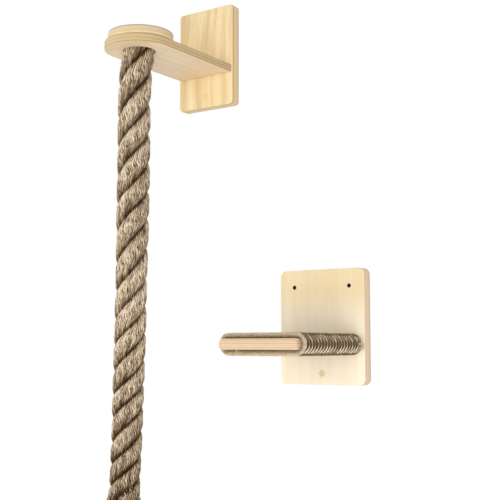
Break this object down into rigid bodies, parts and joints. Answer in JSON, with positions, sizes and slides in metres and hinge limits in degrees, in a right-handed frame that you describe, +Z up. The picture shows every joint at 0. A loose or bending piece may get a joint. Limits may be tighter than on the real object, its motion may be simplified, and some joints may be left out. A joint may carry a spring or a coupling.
{
  "type": "wall cat scratcher",
  "caption": "Wall-mounted cat scratcher: a plywood bracket with a thick hanging climbing rope, and a separate plywood step wound with sisal cord.",
  "frame": {"origin": "centre of the back face of the rope bracket's wall plate, on the wall plane", "axes": "+Z up the wall, +Y into the wall (the object stands out towards -Y), +X to the right as seen from the room; the step lies to the right of and below the bracket"},
  "size_m": [0.335, 0.231, 0.7898],
  "materials": {
    "plywood": "birch-faced plywood, sanded, clear matt",
    "pale_plywood": "paler birch-faced plywood, sanded, clear matt",
    "plug_wood": "sanded flush wood plug",
    "dowel_wood": "raw beech dowel",
    "jute_rope": "three-strand laid jute rope, hairy",
    "sisal_cord": "twisted sisal cord",
    "screw_steel": "zinc-plated steel"
  },
  "bodies": {
    "root": {"bracket_wall_plate": "plywood", "bracket_arm": "plywood", "cap_disc": "plywood", "bracket_plug_top_left": "plug_wood", "bracket_plug_top_right": "plug_wood", "bracket_plug_bottom": "plug_wood", "arm_screw_1": "screw_steel", "arm_screw_2": "screw_steel", "arm_screw_3": "screw_steel", "arm_dowel_left": "dowel_wood", "arm_dowel_right": "dowel_wood", "cap_screw_1": "screw_steel", "cap_screw_2": "screw_steel", "cap_screw_3": "screw_steel", "rope_screw": "screw_steel", "climbing_rope": "jute_rope", "step_wall_plate": "pale_plywood", "step_board": "pale_plywood", "step_rope_wrap": "sisal_cord", "step_plug_bottom": "plug_wood", "board_screw_1": "screw_steel", "board_screw_2": "screw_steel", "board_screw_3": "screw_steel", "board_dowel_left": "dowel_wood", "board_dowel_right": "dowel_wood"}
  },
  "joints": []
}
